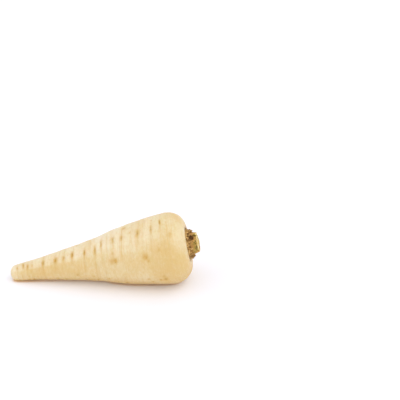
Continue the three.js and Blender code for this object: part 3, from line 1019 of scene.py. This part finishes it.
# %% Cream skin with marks
CREAM = colour(230, 211, 168)
PALE = colour(236, 223, 190)
# The pale paint of the painted highlight on the side that faces up.
TOP_HIGHLIGHT = colour(241, 232, 212)
GOLD = colour(220, 187, 120)
TAWNY = colour(212, 170, 88)
WORN = colour(196, 174, 134)
OCHRE = colour(196, 148, 54)
BROWN = colour(148, 104, 46)
DARK_BROWN = colour(84, 54, 28)

peel = Graph(bpy.data.materials.new("parsnip_skin"))
unbent_place = peel.paint("skin", "Vector")


def stretched_speckle(per_mm, detail, roughness):
    """Random values over the root, that change faster along it or across it by what per_mm says."""
    stretched = peel.add("VectorMath", "Vector", {0: unbent_place, 1: per_mm}, operation="MULTIPLY")
    return peel.speckle(stretched, 1.0, detail, roughness)


clouds = stretched_speckle((0.045, 0.06, 0.06), 3.0, 0.5)
streaks = stretched_speckle((1.3, 0.2, 0.2), 4.0, 0.6)
grain = stretched_speckle((2.4, 1.3, 1.3), 3.0, 0.7)
hairlines = stretched_speckle((5.5, 0.4, 0.4), 3.0, 0.65)
cracks = stretched_speckle((4.5, 1.1, 1.1), 3.0, 0.7)
pores = peel.speckle(unbent_place, 1.5, 1.0, 0.5)
mottle = peel.speckle(unbent_place, 0.45, 3.0, 0.6)
rough = peel.levels(grain, 0.2, 0.5)
open_cracks = peel.levels(cracks, 0.5, 0.62)
cracked = peel.times(peel.levels("scar", 0.25, 0.6), open_cracks)
stained = peel.sums("ADD", "crown_stain", peel.times(grain, 0.8))
base = peel.layers(
    CREAM,
    (GOLD, (clouds, 0.42, 0.75), 0.6),
    # The warm amount also holds the golden flanks' painted shade.
    (GOLD, "warm", 0.65),
    # Pale patches, and the painted highlight on the shoulder's edge.
    (PALE, "pale_and_lit", 0.6),
    # Painted shade on the side that faces down.
    (TAWNY, "shaded_underside", 0.8),
    # Painted highlight: the side that faces up is painted paler.
    (TOP_HIGHLIGHT, "lit_top", 0.8),
    (WORN, "worn_tip", 0.8),
    (PALE, ("panel", 0.5, 1.0), 0.6),
    (GOLD, ("panel", 0.5, 0.0), 0.35),
    (GOLD, "ring_band", 0.35),
    (TAWNY, "tail", 0.45),
    (PALE, (mottle, 0.5, 0.3), 0.3),
    (GOLD, (mottle, 0.5, 0.75), 0.35),
    (GOLD, (streaks, 0.52, 0.75), 0.4),
    (PALE, (streaks, 0.48, 0.28), 0.45),
    (GOLD, (hairlines, 0.52, 0.7), 0.4),
    (PALE, (hairlines, 0.48, 0.3), 0.35),
    # Warm patches and the flanks' painted shade once more.
    (GOLD, "warm", 0.4),
    (OCHRE, (pores, 0.66, 0.8), 0.4),
    (TAWNY, "fine_ring", 0.35),
    (TAWNY, "ring", 0.2),
    (TAWNY, peel.times("halo", peel.levels(mottle, 0.1, 0.55)), 1.0),
    (TAWNY, peel.times("spot_halo", mottle), 1.0),
    (TAWNY, peel.times("spot", rough), 1.7),
    (OCHRE, peel.times("scar", rough), 0.7),
    (BROWN, cracked, 0.5),
    (BROWN, peel.times(peel.levels("spot", 0.15, 0.5), open_cracks), 0.35),
    (BROWN, ("spot", 0.75, 1.0), 0.6),
    (TAWNY, "crown_stain", 0.5),
    (BROWN, (stained, 1.06, 1.32), 0.9),
)
ridges = peel.sums("ADD", peel.times(streaks, 0.6), peel.times(hairlines, 0.5))
peel.shade(
    {
        "Base Color": base,
        "Normal": peel.relief(peel.sums("SUBTRACT", ridges, cracked), 0.5, 0.2),
        "Roughness": peel.levels(grain, -0.6, 1.9),
        "Specular IOR Level": 0.4,
        "Subsurface Weight": 0.25,
        "Subsurface Radius": (1.0, 0.55, 0.25),
        "Subsurface Scale": 3 * MM,
    }
)
root_skin.data.materials.append(peel.owner)
print("root finish:", len(peel.tree.nodes), "nodes")

# %% [markdown]
# ## The crown's finishes
#
# The stalks are yellow-green, paler at the cut, with olive blotches where they bruised and brown where
# they go down into the collar. The collar's tissues are dead: matt, tan to dark brown, darker low down.

# %% Green stalks and their cut ends
STALK_GREEN = colour(150, 128, 36)
STALK_YELLOW = colour(214, 176, 88)
STALK_TAN = colour(202, 150, 76)
OLIVE = colour(100, 78, 18)
CUT_FLESH = colour(246, 226, 166)
HOLE_BROWN = colour(74, 36, 14)

stem = Graph(bpy.data.materials.new("leaf_stalk"))
place = stem.add("TexCoord", "Object")
blotch = stem.speckle(place, 420.0, 3.0, 0.6)
fibre = stem.speckle(place, 1500.0, 2.0, 0.6)
tan_skin = stem.speckle(place, 260.0, 2.0, 0.6)
vein = stem.add("TexVoronoi", "Distance", {"Vector": place, "Scale": 1100.0})
low_down = stem.sums("ADD", "height", stem.times(blotch, 0.3))
torn = stem.sums("ADD", "bruise", stem.times(fibre, 1.2))
outside = stem.layers(
    STALK_GREEN,
    (STALK_YELLOW, ("tint", -0.6, 0.5)),
    (STALK_YELLOW, (fibre, 0.4, 0.7), 0.5),
    (STALK_TAN, (tan_skin, 0.46, 0.56)),
    (STALK_GREEN, "green"),
    (OLIVE, (blotch, 0.56, 0.66)),
    (STALK_TAN, (low_down, 0.85, 0.6)),
    (stem.layers(HOLE_BROWN, (OLIVE, "green")), (torn, 0.95, 1.25)),
)
cut_face = stem.layers(
    CUT_FLESH,
    (STALK_YELLOW, (tan_skin, 0.4, 0.62)),
    (STALK_GREEN, (vein, 0.3, 0.12)),
    (STALK_TAN, (blotch, 0.56, 0.66)),
    (OLIVE, (blotch, 0.64, 0.7)),
)
stem.shade(
    {
        "Base Color": stem.layers(outside, (cut_face, "cut")),
        "Normal": stem.relief(fibre, 0.6, 0.3),
        "Roughness": 0.6,
        "Subsurface Weight": 0.15,
        "Subsurface Radius": (0.8, 0.6, 0.2),
        "Subsurface Scale": 2 * MM,
    }
)
leaf_stalks.data.materials.append(stem.owner)
print("stalk finish:", len(stem.tree.nodes), "nodes")


# %% Dead brown tissue
def dead_tissue(name, light, dark, *pieces):
    """Give pieces a matt, mottled finish between two browns, darker low down and where they have rotted."""
    dead = Graph(bpy.data.materials.new(name))
    place = dead.add("TexCoord", "Object")
    mottle = dead.speckle(place, 1000.0, 4.0, 0.65)
    rot = dead.speckle(place, 560.0, 2.0, 0.6)
    shade = dead.layers(
        dark,
        (light, (mottle, 0.4, 0.6)),
        (DARK_BROWN, (rot, 0.6, 0.68)),
        (DARK_BROWN, "tint", 0.5),
        (DARK_BROWN, ("height", 0.3, -0.3)),
    )
    normal = dead.relief(mottle, 0.8, 0.4)
    dead.shade({"Base Color": shade, "Normal": normal, "Roughness": 0.85, "Specular IOR Level": 0.2})
    for piece in pieces:
        piece.data.materials.append(dead.owner)


dead_tissue("dry_scale", colour(250, 212, 140), colour(174, 124, 60), dry_scales, corky_band)
dead_tissue("dry_shred", colour(238, 194, 122), colour(122, 78, 36), dry_shreds)
dead_tissue("crown_heart", colour(118, 80, 38), colour(60, 32, 12), crown_heart)
print("collar and heart painted")

# %% [markdown]
# ## Joining the frame
#
# Each skin stands for one of the solids and rides on the one body there is.

# %% What stands for what
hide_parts("taproot")
for piece in (dry_scales, dry_shreds, corky_band):
    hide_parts("dry_leaf_bases")
for piece in (leaf_stalks, crown_heart):
    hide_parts("leaf_stalk_stubs")
for piece in (root_skin, dry_scales, dry_shreds, corky_band, leaf_stalks, crown_heart):
    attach(piece, "root")

# %% [markdown]
# ## A white table, soft light and the camera
#
# Produce is often shown on a white sweep, where the board glows and the shadow is only a warm line under
# the root. A white room gives most of the light from all sides. Two weak suns, so wide that they cast no
# edge, model the root: one beyond the crown, one low beyond the tip. Close to the root the board is painted
# a warm shade, a painted shadow with the root's warm bounce in it. A shader that measures how much of the
# sky each spot sees finds those places.

# %% The board
BOARD = 6.0
WHITE_BOARD = (0.9, 0.9, 0.965, 1.0)
WARM_SHADE = (0.8, 0.57, 0.32, 1.0)
SHADE_REACH = 2.3
SHADE_STARTS, SHADE_FULL = 0.78, 0.3
BOARD_GLOW = 0.08
board_mesh = bpy.data.meshes.new("white_board")
board_mesh.from_pydata(
    [(x * BOARD, y * BOARD, 0.0) for x, y in ((-1, -1), (1, -1), (1, 1), (-1, 1))], [], [(0, 1, 2, 3)]
)
board = new_object("white_board", board_mesh)
sheet = Graph(bpy.data.materials.new("white_board"))
in_the_open = sheet.add("AmbientOcclusion", "AO", {"Distance": SHADE_REACH * MM})
# Painted shadow: where the board sees little sky it is painted a warm shade.
board_colour = sheet.layers(WHITE_BOARD, (WARM_SHADE, (in_the_open, SHADE_STARTS, SHADE_FULL)))
sheet.shade(
    {"Base Color": board_colour, "Emission Color": WHITE, "Emission Strength": BOARD_GLOW, "Roughness": 0.9}
)
board_mesh.materials.append(sheet.owner)

# %% Light
ROOM_LIGHT = 0.93
room = Graph(bpy.data.worlds.new("white_room"))
scene.world = room.owner
seen = room.add("LightPath", "Is Camera Ray")
brightness = room.sums("ADD", room.times(seen, 1 - ROOM_LIGHT), ROOM_LIGHT)
room.shade({"Color": WHITE, "Strength": brightness}, "Background")


def soft_sun(name, towards, width, strength):
    """A distant lamp in one direction, spread over so many degrees that its shadows are soft."""
    data = bpy.data.lights.new(name, "SUN")
    data.angle = np.radians(width)
    data.energy = strength
    new_object(name, data).rotation_euler = Vector(towards).to_track_quat("Z", "Y").to_euler()


soft_sun("crown_side_sun", (0.58, -0.33, 0.75), 60, 0.6)
soft_sun("tip_side_sun", (-0.88, -0.23, 0.42), 60, 0.3)
scene.view_settings.view_transform = "Standard"
print("world and two suns")

# %% The camera
PICTURE = 400
LENS = 85.0
SENSOR = 36.0
DISTANCE = 0.6785
ELEVATION = np.radians(25)
SEEN_AT = np.array([104.2, 247.6])
middle = np.array((0.0, 0.0, root_high[2] / 2)) * MM
forward = np.array([0, np.cos(ELEVATION), -np.sin(ELEVATION)])
upward = np.array([0, np.sin(ELEVATION), np.cos(ELEVATION)])
per_pixel = DISTANCE * SENSOR / LENS / PICTURE
shift_right, shift_down = (SEEN_AT - PICTURE / 2) * per_pixel
camera_data = bpy.data.cameras.new("camera")
camera_data.lens = LENS
camera_data.sensor_width = SENSOR
camera = new_object("camera", camera_data)
camera.location = middle - forward * DISTANCE - np.array([shift_right, 0, 0]) + upward * shift_down
camera.rotation_euler = Euler((np.pi / 2 - ELEVATION, 0, 0))
scene.camera = camera
print("camera at", np.round(camera.location, 3))

# %% The last line joins it all
bpy.context.view_layer.update()
